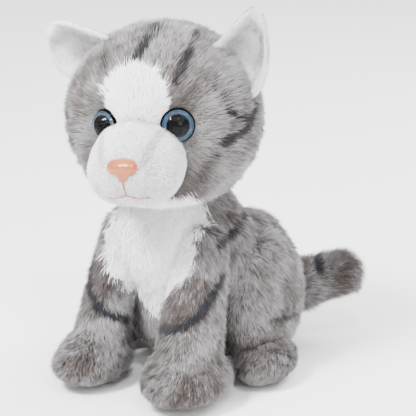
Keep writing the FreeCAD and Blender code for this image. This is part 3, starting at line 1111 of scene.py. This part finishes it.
# ---- face details -----------------------------------------------------------------------------------
def glass_dome():
    mat, tree, bsdf = material("clear_dome", 0.03, Base_Color=(1, 1, 1, 1),
                               Transmission_Weight=1.0, IOR=1.22)
    return mat


def iris_paint():
    return mottled("iris_paint", (0.005, 0.022, 0.052), (0.018, 0.062, 0.125), 380.0, 0.4)


def black_plastic():
    low, high = (0.0008, 0.0008, 0.001), (0.002, 0.002, 0.0025)
    return mottled("black_plastic", low, high, 300.0, 0.5, Specular_IOR_Level=0.03)


def nose_plastic():
    return mottled("nose_plastic", (0.30, 0.070, 0.012), (0.37, 0.096, 0.020), 160.0, 0.28,
                   Coat_Weight=0.5, Coat_Roughness=0.12, Subsurface_Weight=0.15,
                   Subsurface_Radius=(0.003, 0.0015, 0.001))


def cad_material(name, mat):
    """Gives a CAD node that stays in the model its material."""
    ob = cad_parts[name]
    for s in ob.material_slots:
        s.material = mat
    if not ob.material_slots:
        ob.data.materials.append(mat)


SPOKES = 64
ROUND = [(k, (k + 1) % SPOKES) for k in range(SPOKES)]


def circle(r, z):
    """Points round the eye's own axis."""
    angles = [2 * math.pi * k / SPOKES for k in range(SPOKES)]
    return [vec(r * math.cos(a), r * math.sin(a), z) for a in angles]


def painted_disc(name, side, inner, outer, offset):
    """A flat ring or disc of paint behind the dome."""
    if inner:
        verts = circle(inner, 0) + circle(outer, 0)
        faces = [(i, SPOKES + i, SPOKES + j, j) for i, j in ROUND]
    else:
        verts = [vec(0, 0, 0)] + circle(outer, 0)
        faces = [(0, 1 + i, 1 + j) for i, j in ROUND]
    return make_mesh(name, head_out(eye_turn(verts, side, offset)), faces)


def eye_turn(verts, side, offset):
    """From the eye's own frame, looking along +Z, to the head frame."""
    axis = eye_axis(side)
    across = unit(np.cross(vec(0, 0, 1), axis))
    basis = np.stack([across, np.cross(axis, across), axis], 1)
    return np.array(verts) @ basis.T + eye_at(side) + axis * offset


def eye_dome(name, side):
    """The clear dome, moulded straight on to the painted disc behind it."""
    rise, radius = DOME_RISE, EYE_RAD - DOME_IN
    curve = (radius**2 + rise**2) / (2 * rise)
    rings = 20
    full = math.asin(radius / curve)
    verts = [vec(0, 0, rise)]
    for r in range(1, rings + 1):
        t = full * r / rings
        verts += circle(curve * math.sin(t), rise - curve + curve * math.cos(t))
    faces = [(0, 1 + i, 1 + j) for i, j in ROUND]
    for r in range(rings - 1):
        first = 1 + r * SPOKES
        faces += [(first + i, first + SPOKES + i, first + SPOKES + j, first + j) for i, j in ROUND]
    return make_mesh("eye_%s_clear" % name, head_out(eye_turn(verts, side, DOME_LIFT)), faces)


GLASS, IRIS, BLACK = glass_dome(), iris_paint(), black_plastic()
WASHER = mottled("washer_plastic", (0.75, 0.75, 0.73), (0.82, 0.82, 0.80), 200.0, 0.5)
for eye_name, eye_side in SIDES:
    dome = set_material(eye_dome(eye_name, eye_side), GLASS)
    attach(dome, "head")
    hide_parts("eye_%s_dome" % eye_name)
    ring = painted_disc("eye_%s_ring" % eye_name, eye_side, IRIS_IN, IRIS_OUT, DOME_LIFT - 0.02)
    set_material(ring, IRIS)
    spot = painted_disc("eye_%s_spot" % eye_name, eye_side, 0, PUPIL_R, DOME_LIFT - 0.015)
    set_material(spot, BLACK)
    for piece, cad, slot in ((ring, "iris", "iris_paint"), (spot, "pupil", "black_plastic")):
        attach(piece, "head")
        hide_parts("eye_%s_%s" % (eye_name, cad))
    cad_material("eye_%s_back" % eye_name, BLACK)
    cad_material("eye_%s_washer" % eye_name, WASHER)
cad_material("nose_washer", WASHER)
cad_material("neck_gusset", GREY_CLOTH)


def nose_field(p):
    """A wide top with two wings, a lower tip and two nostrils, in the head's frame."""
    c = vec(*NOSE_P)
    d = f_egg(p, c + vec(3.6, 0, 1.4), (4.8, 6.4, 4.2))
    d = join(d, f_egg(p, c + vec(-3.6, 0, 1.4), (4.8, 6.4, 4.2)), 1.6)
    d = join(d, f_egg(p, c + vec(0, 0, 1.6), (5.0, 6.9, 4.3)), 1.6)
    d = join(d, f_egg(p, c + vec(0, 0, -1.6), (4.2, 6.3, 4.9)), 1.4)
    for name, side in SIDES:
        nostril = f_limb(p, c + vec(side * 4.4, -6.4, -2.6), 0.3, c + vec(side * 8, -3.5, -1.4), 0.6)
        d = carve(d, nostril, 1.6)
    return d


nose = blob("nose_shell", nose_field, NOSE_P, 6, 14)
set_points(nose, head_out(points_of(nose)))
set_material(nose, nose_plastic())
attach(nose, "head")
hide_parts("nose")


def on_muzzle(x, z, rise):
    """The point over the front of the muzzle skin at x and z of the head frame."""
    count = 281
    y = np.linspace(-40, -68, count)
    line = np.stack([np.full(count, x), y, np.full(count, z)], 1)
    inside = muzzle_field(line) < 0
    front = y[inside].min() if inside.any() else -50.0
    return vec(x, front - rise, z)


def thread(name, points, radius):
    """A stitched line as a closed tube with a slight twist of two strands."""
    fine = []
    for a, b in zip(points, points[1:]):
        fine += [a + (b - a) * t for t in np.linspace(0, 1, 7)[:-1]]
    fine = np.array(fine + [points[-1]])
    for _ in range(3):
        fine[1:-1] = (fine[:-2] + fine[1:-1] * 2 + fine[2:]) / 4
    ring, verts, faces = 8, [], []
    for i, p in enumerate(fine):
        along = unit(fine[min(i + 1, len(fine) - 1)] - fine[max(i - 1, 0)])
        side = unit(np.cross(along, vec(0, 1, 0)))
        up = np.cross(side, along)
        for k in range(ring):
            a = 2 * math.pi * k / ring
            r = radius * (1 + 0.18 * math.cos(2 * a + i * 0.9))
            verts.append(p + side * r * math.cos(a) + up * r * math.sin(a))
    for i in range(len(fine) - 1):
        for k in range(ring):
            j = (k + 1) % ring
            faces.append((i * ring + k, i * ring + j, (i + 1) * ring + j, (i + 1) * ring + k))
    last = (len(fine) - 1) * ring
    faces += [tuple(range(ring - 1, -1, -1)), tuple(range(last, last + ring))]
    return make_mesh(name, head_out(verts), faces)


def mouth():
    """A stem under the nose and an arm to each side, the cat's left one longer."""
    stem = [on_muzzle(0, z, THREAD_LIFT) for z in (-17.5, -20.5, -24.0)]
    lines = [thread("mouth_stem", stem, THREAD_R)]
    for name, side in SIDES:
        reach = 1.0 if side > 0 else 0.85
        path = ((0, -24.0), (3.5, -25.2), (7, -25.9), (11, -25.7))
        arm = [on_muzzle(side * x * reach, z, THREAD_LIFT) for x, z in path]
        lines.append(thread("mouth_arm_" + name, arm, THREAD_R))
    return lines


PINK = mottled("pink_thread", (0.30, 0.05, 0.09), (0.48, 0.13, 0.19), 900.0, 0.7, 0.6)
for line in mouth():
    set_material(line, PINK)
    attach(line, "head")
    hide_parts("mouth_thread")
